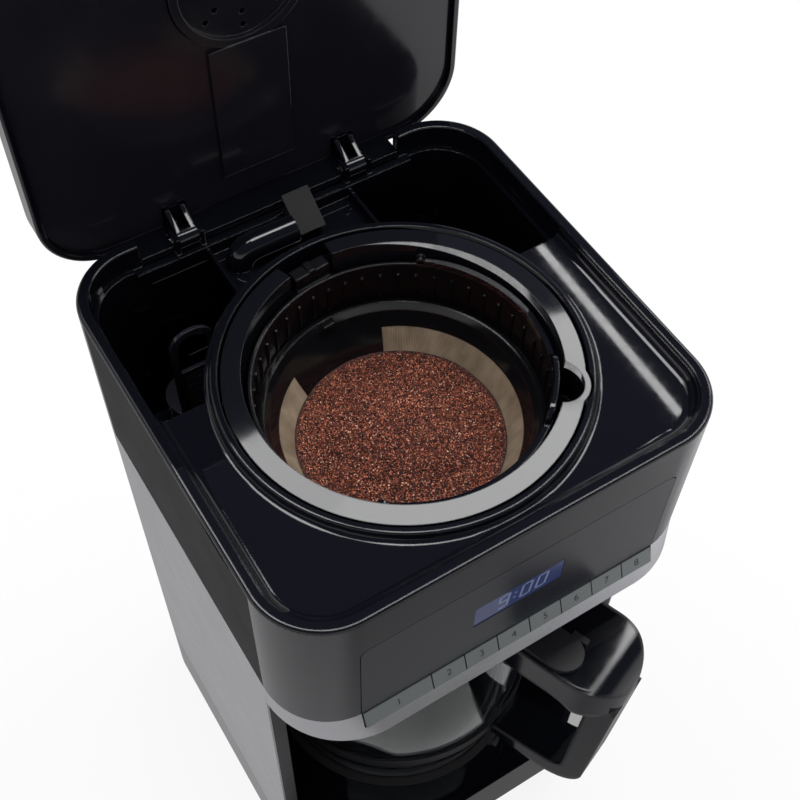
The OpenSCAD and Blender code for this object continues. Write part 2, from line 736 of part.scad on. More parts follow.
module spout_tube() on_footprint() color([0.03, 0.03, 0.05]) {
    bend = 7;
    difference() {
        union() {
            translate([-pipe_x, pipe_y, bridge_z]) cylinder(r = 7, h = spout_z - bend - bridge_z);
            translate([-pipe_x + bend, pipe_y, spout_z - bend]) rotate([90, 0, 0])
                rotate([0, 0, 90]) rotate_extrude(angle = 90) translate([bend, 0]) circle(6.5);
            translate([-pipe_x + bend, pipe_y, spout_z]) rotate([0, 90, 0])
                cylinder(r = 6.5, h = spout_end + pipe_x - bend);
        }
        translate([-pipe_x, pipe_y, bridge_z - cut]) cylinder(r = tube_r + 0.1, h = spout_z - bend - bridge_z);
        translate([-pipe_x + bend, pipe_y, spout_z]) rotate([0, 90, 0])
            cylinder(r = 4, h = spout_end + pipe_x - bend + cut);
    }
}

module spout_flap() on_footprint() color([0.2, 0.2, 0.21])
    translate([spout_end + 0.3, pipe_y - 4, rim_z - 13]) rotate([34, 0, 0]) {
        cube([13, 19, 1.6]);
        translate([0, 0, -6]) cube([1.5, 14, 6]);
        translate([11.5, 0, -6]) cube([1.5, 14, 6]);
    }

// ---- brew chamber and basket ----

ring_fall = 0.15;                 // fall of the ring's top for each millimetre outwards

function ring_top(r) = ring_z + 0.4 - (r - chamber_r) * ring_fall;

module brew_chamber() on_footprint() color([0.05, 0.05, 0.06]) difference() {
    union() {
        at_brew() slab(chamber_floor, ring_z - ring_t + 0.5) circle(chamber_r + chamber_wall);
        // ring and notch lobe share one top that falls a little outwards
        intersection() {
            union() {
                at_brew() slab(ring_z - ring_t, rim_z) circle(ring_r);
                at_notch() slab(ring_z - 24, rim_z) circle(lobe_r);
            }
            at_brew() rotate_extrude() polygon([
                [0, ring_z - 30], [0, ring_top(0)], [ring_r + 10, ring_top(ring_r + 10)],
                [ring_r + 10, ring_z - 30]]);
        }
    }
    at_brew() {
        slab(chamber_floor + 2, rim_z + cut) circle(chamber_r);
        slab(chamber_floor - cut, chamber_floor + 3) circle(12);
        // gap at the back, where the spout reaches over
        intersection() {
            slab(basket_rim_z - 3, ring_z + cut) circle(ring_r + 2);
            rotate([0, 0, gap_at - gap_deg / 2]) rotate_extrude(angle = gap_deg)
                translate([chamber_r - 2, basket_rim_z - 3]) square([14, rim_z - basket_rim_z + 4]);
        }
    }
    at_notch() slab(ring_z - 22, rim_z + cut) circle(notch_r);
}

basket_wall = 1.6;
basket_in = basket_r - basket_wall;
basket_ribs = 48;
tab_w = 17;
tab_out = ring_r - 4;             // how far the locating tab reaches from the axis
tab_rise = 7;

rim_flange = 1.9;                 // how far the filter's rim reaches past its radius
basket_lip = 2.4;                 // height of the basket's own rim
seat_z = filter_rim_z - 1.2 - run_gap;   // the filter's rim sits just above this step
seat_r = filter_r + 0.5;
rib_top = basket_rim_z - 6;
bail_in = filter_r + rim_flange + run_gap;   // the filter lifts out inside the folded handle
bail_out = bail_in + bail_t;
bail_h = 3.2;
bail_boss_t = 1.8;
post_in = bail_in + bail_boss_t + run_gap;   // the posts stand outside the handle's bosses
post_out = post_in + 1.8;
post_w = 5;
peg_r = 1.2;

module brew_basket() on_footprint() color([0.05, 0.05, 0.06]) at_brew() {
    difference() {
        rotate_extrude() polygon([
            [0, basket_floor], [48, basket_floor], [seat_r + basket_wall - 1, basket_floor + 12],
            [seat_r + basket_wall, seat_z - 4], [basket_r - 0.8, seat_z], [basket_r - 0.8, basket_rim_z - 3],
            [basket_r, basket_rim_z - basket_lip], [basket_r, basket_rim_z], [basket_in, basket_rim_z],
            [basket_in - 0.4, seat_z], [seat_r, seat_z], [seat_r - 1, basket_floor + 13],
            [47, basket_floor + 2], [0, basket_floor + 2]]);
        slab(basket_floor - cut, basket_floor + 3) circle(valve_stem_r + pin_gap);
    }
    // standing ring
    slab(chamber_floor + 2 + run_gap, basket_floor + 0.5) difference() {
        circle(47);
        circle(45);
    }
    for (i = [0:basket_ribs - 1])
        rotate([0, 0, i * 360 / basket_ribs])
            translate([basket_in - 1, -0.6, filter_rim_z + 2])
                cube([1.2, 1.2, rib_top - filter_rim_z - 2]);
    // posts and pegs for the handle
    for (side = [-1, 1])
        rotate([0, 0, notch_deg + 90 * side]) {
            translate([basket_in, -post_w / 2, basket_rim_z - basket_lip])
                cube([post_out - basket_in, post_w, basket_lip - 0.2]);
            translate([post_in, -post_w / 2, basket_rim_z - basket_lip])
                cube([post_out - post_in, post_w, bail_pivot_z - basket_rim_z + basket_lip]);
            translate([post_in, 0, bail_pivot_z]) rotate([0, 90, 0])
                cylinder(r = post_w / 2, h = post_out - post_in);
            translate([bail_in + 0.4, 0, bail_pivot_z]) rotate([0, 90, 0])
                cylinder(r = peg_r, h = post_in - bail_in);
        }
    // locating tab in the ring's gap, with a ridge across it
    rotate([0, 0, gap_at - 90]) translate([0, basket_in, basket_rim_z]) {
        translate([-tab_w / 2, 0, -2]) cube([tab_w, tab_out - basket_in, 1.8]);
        translate([-tab_w / 2, bail_out - basket_in + run_gap, -0.3])
            cube([tab_w, tab_out - bail_out - run_gap, tab_rise]);
        translate([-1.5, bail_out - basket_in + run_gap, -0.3])
            cube([3, tab_out - bail_out - run_gap, tab_rise + 1]);
    }
    // guide over the valve spring
    difference() {
        for (a = [0, 60, 120]) rotate([0, 0, a])
            translate([-14, -1, basket_floor + 1]) cube([28, 2, guide_foot + guide_t - basket_floor - 1]);
        slab(basket_floor, guide_foot) circle(8.5);
        slab(guide_foot - cut, guide_foot + guide_t + cut) circle(spindle_r + pin_gap);
    }
}

bail_grip_w = 34;                 // width of the handle's finger loop
bail_grip_h = 9;
bail_half_deg = 84;               // the bow stops here, where its bosses take over
bail_boss_wall = 0.9;

// The finger loop seen from outside, from the handle's underside up.
module finger_loop() {
    difference() {
        round_rect(bail_grip_w, 2 * bail_grip_h, 7);
        translate([0, bail_h + 1.4]) round_rect(bail_grip_w - 12, 3, 1.4);
    }
}

module basket_handle() on_footprint() color([0.03, 0.03, 0.04]) at_brew() rotate([0, 0, notch_deg])
    difference() {
        union() {
            rotate([0, 0, -bail_half_deg]) rotate_extrude(angle = 2 * bail_half_deg)
                translate([bail_in, bail_z]) square([bail_t, bail_h]);
            intersection() {
                slab(bail_z + 1, bail_z + bail_grip_h + cut) difference() {
                    circle(bail_out - 0.3);
                    circle(bail_in + 0.3);
                }
                translate([0, 0, bail_z]) rotate([90, 0, 90]) linear_extrude(bail_out + cut) finger_loop();
            }
            // bosses round the pegs
            for (side = [0, 1]) mirror([0, side, 0]) {
                translate([0, bail_in, bail_z]) cube([bail_in * cos(bail_half_deg) + 0.5, bail_boss_t, bail_h]);
                translate([0, bail_in + bail_boss_t, bail_pivot_z]) rotate([90, 0, 0])
                    cylinder(r = peg_r + pin_gap + bail_boss_wall, h = bail_boss_t);
            }
        }
        translate([0, 0, bail_pivot_z]) rotate([90, 0, 0])
            cylinder(r = peg_r + pin_gap, h = 2 * bail_out, center = true);
    }

valve_stem_r = 4;
valve_disc_r = 7;
spindle_r = 2.2;                  // the valve's upper spindle, inside the spring
valve_tip = carafe_top_z + 0.5;

module drip_valve() on_footprint() color([0.75, 0.74, 0.7]) at_brew() {
    slab(valve_tip, basket_floor + 3.2) circle(valve_stem_r);
    slab(basket_floor + 3.2, valve_disc_z) circle(valve_disc_r);
    slab(valve_disc_z, guide_foot + 1) circle(spindle_r);
}

module valve_seal() on_footprint() color([0.75, 0.3, 0.2]) at_brew()
    slab(basket_floor + 2 + 0.05, basket_floor + 3.2) difference() {
        circle(valve_disc_r);
        circle(valve_stem_r);
    }

// Coil spring between the valve's disc and the guide above it.
spring_r = 3.6;
spring_wire = 0.35;
spring_turns = 4;
spring_foot = valve_disc_z + spring_wire;
spring_rise = guide_foot - spring_foot - spring_wire;
spring_rings = 64;
spring_sides = 8;

function coil_point(i, j) =
    let (a = 360 * spring_turns * i / spring_rings, b = 360 * j / spring_sides,
        r = spring_r + spring_wire * cos(b))
    [r * cos(a), r * sin(a), spring_foot + spring_rise * i / spring_rings + spring_wire * sin(b)];

module valve_spring() on_footprint() color([0.8, 0.8, 0.82]) at_brew() polyhedron(
    points = [for (i = [0:spring_rings], j = [0:spring_sides - 1]) coil_point(i, j)],
    faces = concat(
        [[for (j = [0:spring_sides - 1]) j]],
        [for (i = [0:spring_rings - 1], j = [0:spring_sides - 1])
            let (k = (j + 1) % spring_sides, a = i * spring_sides, b = a + spring_sides)
            [a + j, b + j, b + k, a + k]],
        [[for (j = [spring_sides - 1:-1:0]) spring_rings * spring_sides + j]]));

// ---- coffee filter ----

function cone_r(z) = lip_r - (cone_top - z) * tan(cone_deg);

module cone_ring(r_add, z0, z1, t) {
    rotate_extrude() polygon([
        [cone_r(z0) + r_add, z0], [cone_r(z1) + r_add, z1],
        [cone_r(z1) + r_add + t, z1], [cone_r(z0) + r_add + t, z0]]);
}

window_top = cone_top - 6;
window_foot = filter_floor + 5;
tab_deg = 94;
post_deg = 54;
post_at = [95, 275];

module filter_frame() on_footprint() color([0.05, 0.05, 0.06]) at_brew() {
    rotate_extrude() polygon([
        [lip_r, cone_top], [lip_r + filter_t, cone_top], [filter_r, filter_rim_z - 1.4],
        [filter_r + rim_flange, filter_rim_z - 1.2], [filter_r + rim_flange, filter_rim_z], [filter_r, filter_rim_z],
        [lip_r, cone_top + 0.8]]);
    // small lifting tab on the rim
    rotate([0, 0, tab_deg]) translate([lip_r - 1.6, -3, filter_rim_z - 1.6]) cube([3.6, 6, 1.6]);
    cone_ring(0, window_top, cone_top, filter_t);
    cone_ring(0, filter_floor, window_foot, filter_t);
    slab(filter_floor - 1.5, filter_floor) circle(cone_r(filter_floor) + filter_t);
    intersection() {
        cone_ring(0, window_foot, window_top, filter_t);
        union() for (a = post_at) rotate([0, 0, a - post_deg / 2])
            rotate_extrude(angle = post_deg) square([80, rim_z]);
    }
}

mesh_t = 0.4;

module filter_mesh() on_footprint() color([0.6, 0.54, 0.42]) at_brew() difference() {
    cone_ring(0.2, window_foot, window_top, mesh_t);
    for (a = post_at) rotate([0, 0, a - post_deg / 2])
        rotate_extrude(angle = post_deg) square([80, rim_z]);
}

heap_edge = rim_z - 52.5;
heap_top = rim_z - 42;

module coffee_grounds() on_footprint() color([0.42, 0.22, 0.17]) at_brew() {
    edge = cone_r(heap_edge) - 0.15;
    foot = cone_r(filter_floor) - 0.15;
    rotate_extrude() polygon(concat(
        [[0, filter_floor], [foot, filter_floor]],
        [for (i = [0:12]) let (s = i / 12)
            [edge * (1 - s), heap_edge + (heap_top - heap_edge) * (1 - cos(180 * s)) / 2]]));
}

// ---- water filter ----

module water_filter_holder() on_footprint() color([0.08, 0.08, 0.1]) {
    x0 = -64;
    y0 = 60;
    foot = tank_step + tank_wall + run_gap;
    translate([x0, y0, foot]) difference() {
        cylinder(r = 12, h = 16);
        for (a = [0:30:330]) rotate([0, 0, a]) translate([11, -1, 4]) cube([3, 2, 8]);
    }
    paddle_top = rim_z - 4;
    translate([x0, y0 - 11, foot + 12]) rotate([90, 0, 0]) linear_extrude(1.8) difference() {
        union() {
            translate([-10, 0]) square([20, paddle_top - foot - 22]);
            translate([0, paddle_top - foot - 22]) circle(10);
        }
        translate([-7, 38]) square([14, paddle_top - foot - 60]);
        translate([0, paddle_top - foot - 22]) circle(7);
        for (i = [0:7]) translate([-6, 8 + 3.6 * i]) square([12, 1.8]);
    }
}

// ---- lid ----

// Turns what is drawn in the closed position to the open one.
module lid_open() {
    translate([0, hinge_y, hinge_z]) rotate([-90, 0, 0]) translate([0, -hinge_y, -hinge_z]) children();
}

lid_z = rim_z + lid_gap;
lid_skin = 2.5;
barrel_r = 4.2;                   // barrel round the hinge pin
arm_rib_t = 2;
web_y = hinge_y - 9;              // inner end of each arm
web_z = lid_z + lid_skin;
apron_t = 3;
apron_top = lid_z + 2;
ear_swing = 5.3;                  // the ears' corners pass inside this radius as the lid turns
apron_mid = arm_from - 2 * run_gap - ear_t;       // half width of the apron between the arms
apron_side = arm_to + 2 * run_gap + ear_t;
apron_end = hinge_half - 2 * run_gap;

module lid_shell() on_footprint() color([0.03, 0.03, 0.04]) lid_open() difference() {
    union() {
        edge_sweep() polygon([
            [0, lid_z + 0.8], [0, lid_z + lid_t - 3], [-1, lid_z + lid_t - 1], [-3, lid_z + lid_t],
            [-8, lid_z + lid_t], [-8, lid_z + lid_t - lid_skin], [-3, lid_z + lid_t - lid_skin],
            [-3, lid_z], [-0.8, lid_z]]);
        slab(lid_z + lid_t - lid_skin, lid_z + lid_t) outline(7.9);
        // each arm is a pair of ribs on a barrel
        for (side = [-1, 1]) translate([side > 0 ? arm_from : -arm_to, 0, 0]) {
            rotate([90, 0, 90]) linear_extrude(arm_to - arm_from) {
                translate([hinge_y, hinge_z]) circle(barrel_r);
                translate([web_y, web_z]) square([half_d - 1 - web_y, lid_skin]);
            }
            for (x = [0, arm_to - arm_from - arm_rib_t]) translate([x, 0, 0])
                rotate([90, 0, 90]) linear_extrude(arm_rib_t)
                    polygon([[hinge_y - barrel_r, hinge_z], [hinge_y + 3, hinge_z + 3],
                        [half_d - 1, apron_top], [half_d - 1, web_z + lid_skin],
                        [web_y, web_z + lid_skin], [web_y, lid_z + 1]]);
        }
        // apron that fills the recess in the rear rim, between and beside the ears
        for (x = [[-apron_mid, apron_mid], [apron_side, apron_end], [-apron_end, -apron_side]])
            translate([x[0], 0, 0]) rotate([90, 0, 90]) linear_extrude(x[1] - x[0])
                polygon(concat(
                    [[half_d, apron_top], [half_d - apron_t, apron_top], [half_d - apron_t, hinge_z - 2]],
                    arc(half_d - 0.7, hinge_z - 1.6, 0.7, 270, 360, 4)));
        // bars that join the apron's parts past the ears
        for (x = [apron_mid - 1, -apron_side - 1])
            translate([x, half_d - apron_t, hinge_z + ear_swing])
                cube([apron_side - apron_mid + 2, apron_t, apron_top - hinge_z - ear_swing]);
    }
    for (side = [-1, 1])
        translate([side > 0 ? arm_from - cut : -arm_to - cut, hinge_y, hinge_z])
            rotate([0, 90, 0]) cylinder(r = hinge_pin_r + pin_gap, h = arm_to - arm_from + 2 * cut);
}

module lid_liner() on_footprint() color([0.04, 0.04, 0.06]) lid_open() difference() {
    union() {
        slab(lid_z + 2.5, lid_z + 5) outline(3 + seat_gap);
        slab(lid_z + 5, lid_z + lid_t - lid_skin) at_brew() difference() {
            circle(62);
            circle(60);
        }
    }
    at_brew() slab(lid_z, lid_z + 6) circle(30);
    for (side = [-1, 1])
        translate([side > 0 ? arm_from - 1 : -arm_to - 1, hinge_y - 10, lid_z])
            cube([arm_to - arm_from + 2, 20, 6]);
}

duct_w = 34;

module lid_duct() on_footprint() color([0.05, 0.05, 0.07]) lid_open() {
    at_brew() difference() {
        slab(lid_z + 1.2, lid_z + 5) circle(29.6);
        slab(lid_z, lid_z + 3.4) circle(26);
        for (r = [8, 16, 22], a = [0:45:315])
            rotate([0, 0, a]) translate([r, 0, lid_z]) cylinder(r = 1.2, h = 8);
    }
    translate([-duct_w / 2, brew_y + 28, lid_z + 0.8]) cube([duct_w, 66, 1.7]);
}

// ---- carafe ----

function blend(s) = (1 + cos(180 * s)) / 2;

foot_flat_r = glass_r - 15;
glass_outer = concat(
    [for (i = [0:8]) let (a = 90 * i / 8)
        [foot_flat_r + (glass_r - foot_flat_r) * sin(a), carafe_foot + (belly_z - carafe_foot) * (1 - cos(a))]],
    [for (i = [1:16]) let (s = i / 16)
        [neck_r - 2 + (glass_r - neck_r + 2) * blend(s), belly_z + (neck_z - belly_z) * s]],
    [[neck_r - 2, glass_top - 3], [neck_r, glass_top]]);
glass_inner = [for (i = [len(glass_outer) - 1:-1:0])
    [glass_outer[i][0] - glass_t, max(glass_outer[i][1], carafe_foot + glass_t)]];

module carafe_glass() on_footprint() color([0.8, 0.85, 0.86, 0.35]) at_brew()
    rotate_extrude() polygon(concat([[0, carafe_foot]], glass_outer, glass_inner, [[0, carafe_foot + glass_t]]));

module toward_handle() {
    at_brew() rotate([0, 0, handle_deg - 90]) children();
}

module carafe_collar() on_footprint() color([0.05, 0.05, 0.06]) at_brew() {
    rotate_extrude() polygon([
        [neck_r + seat_gap, collar_foot], [neck_r + 4, collar_foot], [neck_r + 5, collar_foot + 3],
        [neck_r + 5, collar_top], [neck_r - 3, collar_top], [neck_r - 3, glass_top + seat_gap],
        [neck_r + seat_gap, glass_top + seat_gap]]);
    // lower strap round the belly
    rotate_extrude() translate([glass_r + 0.15, belly_z - 4]) square([strap_out - glass_r - 0.15, 8]);
}

grip_t = 14;

module carafe_handle() on_footprint() color([0.03, 0.03, 0.04]) toward_handle() {
    upper = handle_top;
    lower = belly_z;
    grip_inner = handle_reach - grip_t;
    // side view of the handle: x is the reach from the axis
    intersection() {
        rotate([90, 0, 0]) linear_extrude(handle_w, center = true) polygon(concat(
            [[neck_r + 5, collar_foot + 4], [neck_r + 5, collar_top - 1]],
            arc(neck_r + 18, upper - 9, 9, 130, 90, 4),
            arc(handle_reach - 13, upper - 13, 13, 90, 0, 8),
            arc(handle_reach - 32, lower + 24, 28, -10, -80, 8),
            [[strap_out, lower - 4], [strap_out, lower + 4]],
            arc(grip_inner - 14, lower + 22, 12, -80, -5, 6),
            arc(grip_inner - 14, upper - 34, 14, 0, 90, 8),
            [[neck_r + 20, collar_foot + 4]]));
        union() {
            // plan of the wide top
            slab(upper - 24, upper + cut) {
                translate([neck_r, -handle_w / 2 + 8]) square([handle_reach - neck_r - 22, handle_w - 16]);
                translate([neck_r + 24, -handle_w / 2]) square([handle_reach - neck_r - 46, handle_w]);
                translate([handle_reach - 22, 0]) circle(22);
            }
            slab(lower - 10, upper - 24 + 0.01) translate([0, -grip_w / 2]) square([handle_reach + 1, grip_w]);
        }
    }
}

lid_hole_r = 5;

module carafe_lid() on_footprint() color([0.06, 0.06, 0.07]) at_brew() difference() {
    rotate_extrude() polygon([
        [0, carafe_top_z - 7], [14, carafe_top_z - 8.5], [neck_r - 7, collar_top + 4.5],
        [neck_r - 5, collar_top + 2], [neck_r - 5, collar_top - 4],
        [neck_r - 3 - run_gap, collar_top - 4], [neck_r - 3 - run_gap, collar_top + run_gap],
        [neck_r + 4, collar_top + run_gap], [neck_r + 4, collar_top + 3], [neck_r - 4, collar_top + 8],
        [16, carafe_top_z - 5], [12, carafe_top_z - 1], [9, carafe_top_z], [6, carafe_top_z - 1.5],
        [0, carafe_top_z - 4]]);
    slab(collar_top - 10, head_under) circle(lid_hole_r);
}

lever_w = 18;

// Thumb lever on the left half of the handle's top, hinged beside its middle.
module carafe_lever() on_footprint() color([0.14, 0.14, 0.15]) toward_handle() {
    translate([neck_r + 12, -lever_w - 2, handle_top]) {
        cube([38, lever_w, 3]);
        translate([38, lever_w / 2, 0]) cylinder(r = lever_w / 2, h = 3);
    }
    translate([neck_r + 48, -2, handle_top]) cube([8, 3, 2.4]);
}

base_housing();
bottom_cover();
rubber_feet();
bottom_screws();
cord_gland();
warming_plate();
plate_seal();
heater();
heater_clamp();
thermostat();
power_board();
inlet_hose();
outlet_hose();
column_housing();
steel_wrap();
head_base();
front_band();
head_shell();
side_trim_left();
side_trim_right();
front_panel();
lcd_window();
lcd_module();
control_board();
button_board();
button_1();
button_2();
button_3();
button_4();
button_5();
button_6();
button_7();
button_8();
top_deck();
water_tank();
tank_column();
riser_tube();
spout_tube();
spout_flap();
brew_chamber();
hinge_pins();
lid_shell();
lid_liner();
lid_duct();
brew_basket();
basket_handle();
drip_valve();
valve_seal();
valve_spring();
filter_frame();
filter_mesh();
coffee_grounds();
water_filter_holder();
carafe_glass();
carafe_collar();
carafe_handle();
carafe_lid();
carafe_lever();
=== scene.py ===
"""Looks of the drip coffee maker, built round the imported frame. Metres, Z up, front towards -Y."""

import json
import math
import random

import bmesh
import bpy
from mathutils import Matrix, Vector, noise


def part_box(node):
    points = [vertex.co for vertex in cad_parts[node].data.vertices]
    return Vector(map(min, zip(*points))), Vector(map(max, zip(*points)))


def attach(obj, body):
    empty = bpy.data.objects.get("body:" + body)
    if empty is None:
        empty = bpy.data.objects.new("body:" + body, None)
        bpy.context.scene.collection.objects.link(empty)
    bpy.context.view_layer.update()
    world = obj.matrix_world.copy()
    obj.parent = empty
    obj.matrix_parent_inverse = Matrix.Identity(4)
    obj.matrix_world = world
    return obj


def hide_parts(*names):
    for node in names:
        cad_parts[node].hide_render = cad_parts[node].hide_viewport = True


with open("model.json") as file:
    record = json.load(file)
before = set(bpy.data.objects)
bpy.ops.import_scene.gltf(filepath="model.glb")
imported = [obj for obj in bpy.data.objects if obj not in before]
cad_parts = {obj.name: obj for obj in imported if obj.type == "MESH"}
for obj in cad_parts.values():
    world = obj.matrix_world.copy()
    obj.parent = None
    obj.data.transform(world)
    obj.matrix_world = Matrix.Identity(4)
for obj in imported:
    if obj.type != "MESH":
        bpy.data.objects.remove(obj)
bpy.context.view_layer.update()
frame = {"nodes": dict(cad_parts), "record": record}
nodes = frame["nodes"]
random.seed(7)

deck_low, deck_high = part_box("top_deck")
band_low, band_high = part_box("front_band")
mesh_low, mesh_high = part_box("filter_mesh")
RIM_Z = deck_high[2]
FRONT_Y = deck_low[1]  # the flat front of the head
SEAM_Z = band_high[2]  # where the steel band meets the head
SLOPE = math.atan((FRONT_Y - band_low[1]) / (band_high[2] - band_low[2]))  # lean of the band
BREW = Vector((0.0, (mesh_low[1] + mesh_high[1]) / 2, 0.0))  # brewing axis


# ---------------------------------------------------------------- node graphs

NOISE_SPAN = (0.3, 0.7)  # where most values of a noise texture lie


class Graph:
    """A node tree built by calls. Each input is a socket to link or a value to set."""

    def __init__(self, tree):
        self.nodes = tree.nodes
        self.links = tree.links
        self.nodes.clear()

    def add(self, kind, inputs=None, **settings):
        """Adds a node. inputs maps the names or places of its inputs to what goes in."""
        node = self.nodes.new(kind)
        for setting, value in settings.items():
            setattr(node, setting, value)
        for key, value in (inputs or {}).items():
            if isinstance(value, bpy.types.NodeSocket):
                self.links.new(value, node.inputs[key])
            else:
                node.inputs[key].default_value = value
        return node

    def math(self, operation, *values):
        return self.add("ShaderNodeMath", dict(enumerate(values)), operation=operation).outputs[0]

    def split(self, vector):
        """The X, Y and Z sockets of a vector."""
        return tuple(self.add("ShaderNodeSeparateXYZ", {0: vector}).outputs)

    def coords(self):
        return self.add("ShaderNodeTexCoord").outputs["Object"]

    def map_range(self, value, low, high, span=NOISE_SPAN, **settings):
        """Maps the values in span to the range low to high."""
        inputs = {
            "Value": value, "From Min": span[0], "From Max": span[1], "To Min": low, "To Max": high,
        }
        return self.add("ShaderNodeMapRange", inputs, **settings).outputs[0]

    def noise(self, coords, scale, detail=3.0, stretch=None):
        if stretch:
            coords = self.add("ShaderNodeMapping", {0: coords, "Scale": stretch}).outputs[0]
        inputs = {"Vector": coords, "Scale": scale, "Detail": detail}
        return self.add("ShaderNodeTexNoise", inputs).outputs["Fac"]

    def bump(self, height, distance, normal=None):
        inputs = {"Height": height, "Distance": distance}
        if normal is not None:
            inputs["Normal"] = normal
        return self.add("ShaderNodeBump", inputs).outputs[0]

    def mix_colors(self, share, a, b):
        inputs = {"Factor": share, "A": (*a, 1), "B": (*b, 1)}
        return self.add("ShaderNodeMix", inputs, data_type="RGBA").outputs["Result"]

    def color_band(self, value, stops):
        """The colour at that value on a ramp through (place, colour) stops."""
        node = self.add("ShaderNodeValToRGB", {0: value})
        elements = node.color_ramp.elements
        while len(elements) < len(stops):
            elements.new(0.5)
        for element, (place, color) in zip(elements, stops):
            element.position = place
            element.color = (*color, 1)
        return node.outputs[0]

    def mix_shaders(self, share, a, b):
        return self.add("ShaderNodeMixShader", {0: share, 1: a, 2: b}).outputs[0]

    def rays(self):
        """Two switches: the ray is seen directly or through glass, and the ray is mirrored."""
        path = self.add("ShaderNodeLightPath").outputs
        seen = self.math("MAXIMUM", path["Is Camera Ray"], path["Is Transmission Ray"])
        return seen, path["Is Glossy Ray"]


def new_material(name):
    m = bpy.data.materials.new(name)
    m.use_nodes = True
    return m, Graph(m.node_tree)


def set_shader(g, inputs):
    """Gives the material one Principled shader with those inputs."""
    shader = g.add("ShaderNodeBsdfPrincipled", inputs)
    g.add("ShaderNodeOutputMaterial", {0: shader.outputs[0]})


# ---------------------------------------------------------------- finishes

PATCH_SCALE = 38.0  # patches of colour and gloss, cells per metre
SAG_SCALE = 22.0  # slow waves in moulded plastic, cells per metre
COAT_ROUGHNESS = 0.06
LEAD_IN_BLEND = 0.0008  # height over which a lead-in's shading starts
# The Z part of a face's normal is 0 where it is upright and 1 where it is level.
UPRIGHT_SPAN = (0.1, 0.3)  # a lead-in's shading fades out over this span
WALL_SPAN = (0.3, 0.6)  # a wall's specular level turns into a level face's over this span


def lead_in_rise(g, coords, tilt, lead_in):
    """How far the shading of a lead-in leans up at each place: 0 everywhere but on the lead-in."""
    slope, level, rise = lead_in
    x, _, z = g.split(coords)
    height = g.math("MULTIPLY_ADD", x, slope, z)
    past = g.map_range(height, 0.0, rise, (level, level + LEAD_IN_BLEND))
    upright = g.map_range(tilt, 1.0, 0.0, UPRIGHT_SPAN)
    return g.math("MULTIPLY", past, upright)


def lean_up(g, normal, rise):
    """That normal, leaned up by the rise."""
    up = g.add("ShaderNodeCombineXYZ", {"Z": rise}).outputs[0]
    leaned = g.add("ShaderNodeVectorMath", {0: normal, 1: up}, operation="ADD").outputs[0]
    return g.add("ShaderNodeVectorMath", {0: leaned}, operation="NORMALIZE").outputs[0]


def surface(
    name,
    color,
    vary=0.12,
    rough=(0.3, 0.4),
    metallic=0.0,
    grain=900.0,
    grain_depth=1e-5,
    wave=0.0,
    edge=0.0004,
    stretch=None,
    aniso=0.0,
    coat=0.0,
    sheen=0.0,
    specular=0.5,
    wall=None,
    lead_in=None,
):
    """A procedural finish: mottled colour, roughness patches, fine grain, and softened edges.

    wall is the specular level of upright faces, for a finish with softened edges. A finish with a
    wall may have a lead_in, as (slope, level, rise): upright faces where z + slope * x passes the
    level get the shading of a lead-in that leans by that rise.
    """
    m, g = new_material(name)
    coords = g.coords()
    patch = g.noise(coords, PATCH_SCALE, detail=4.0)
    fine = g.noise(coords, grain, detail=2.0, stretch=stretch)
    dark = tuple(c * (1 - vary) for c in color)
    light = tuple(min(1.0, c * (1 + vary)) for c in color)
    mottle = g.math("MULTIPLY_ADD", patch, 0.5, g.math("MULTIPLY", fine, 0.5))
    soft = g.add("ShaderNodeBevel", {"Radius": edge}, samples=4).outputs[0] if edge else None
    sagged = g.bump(g.noise(coords, SAG_SCALE, detail=1.0), wave, soft) if wave else soft
    normal = g.bump(fine, grain_depth, sagged)
    level = specular
    if wall is not None:
        tilt = g.math("ABSOLUTE", g.split(soft)[2])
        level = g.map_range(tilt, wall, specular, WALL_SPAN)
        if lead_in:
            rise = lead_in_rise(g, coords, tilt, lead_in)
            normal = lean_up(g, normal, rise)
            shown = g.map_range(rise, 0.0, specular, (0.0, lead_in[2]))
            level = g.math("MAXIMUM", level, shown)
    set_shader(g, {
        "Base Color": g.mix_colors(patch, dark, light),
        "Roughness": g.map_range(mottle, *rough),
        "Normal": normal,
        "Metallic": metallic,
        "Anisotropic": aniso,
        "Coat Weight": coat,
        "Coat Roughness": COAT_ROUGHNESS,
        "Sheen Weight": sheen,
        "Specular IOR Level": level,
    })
    return m


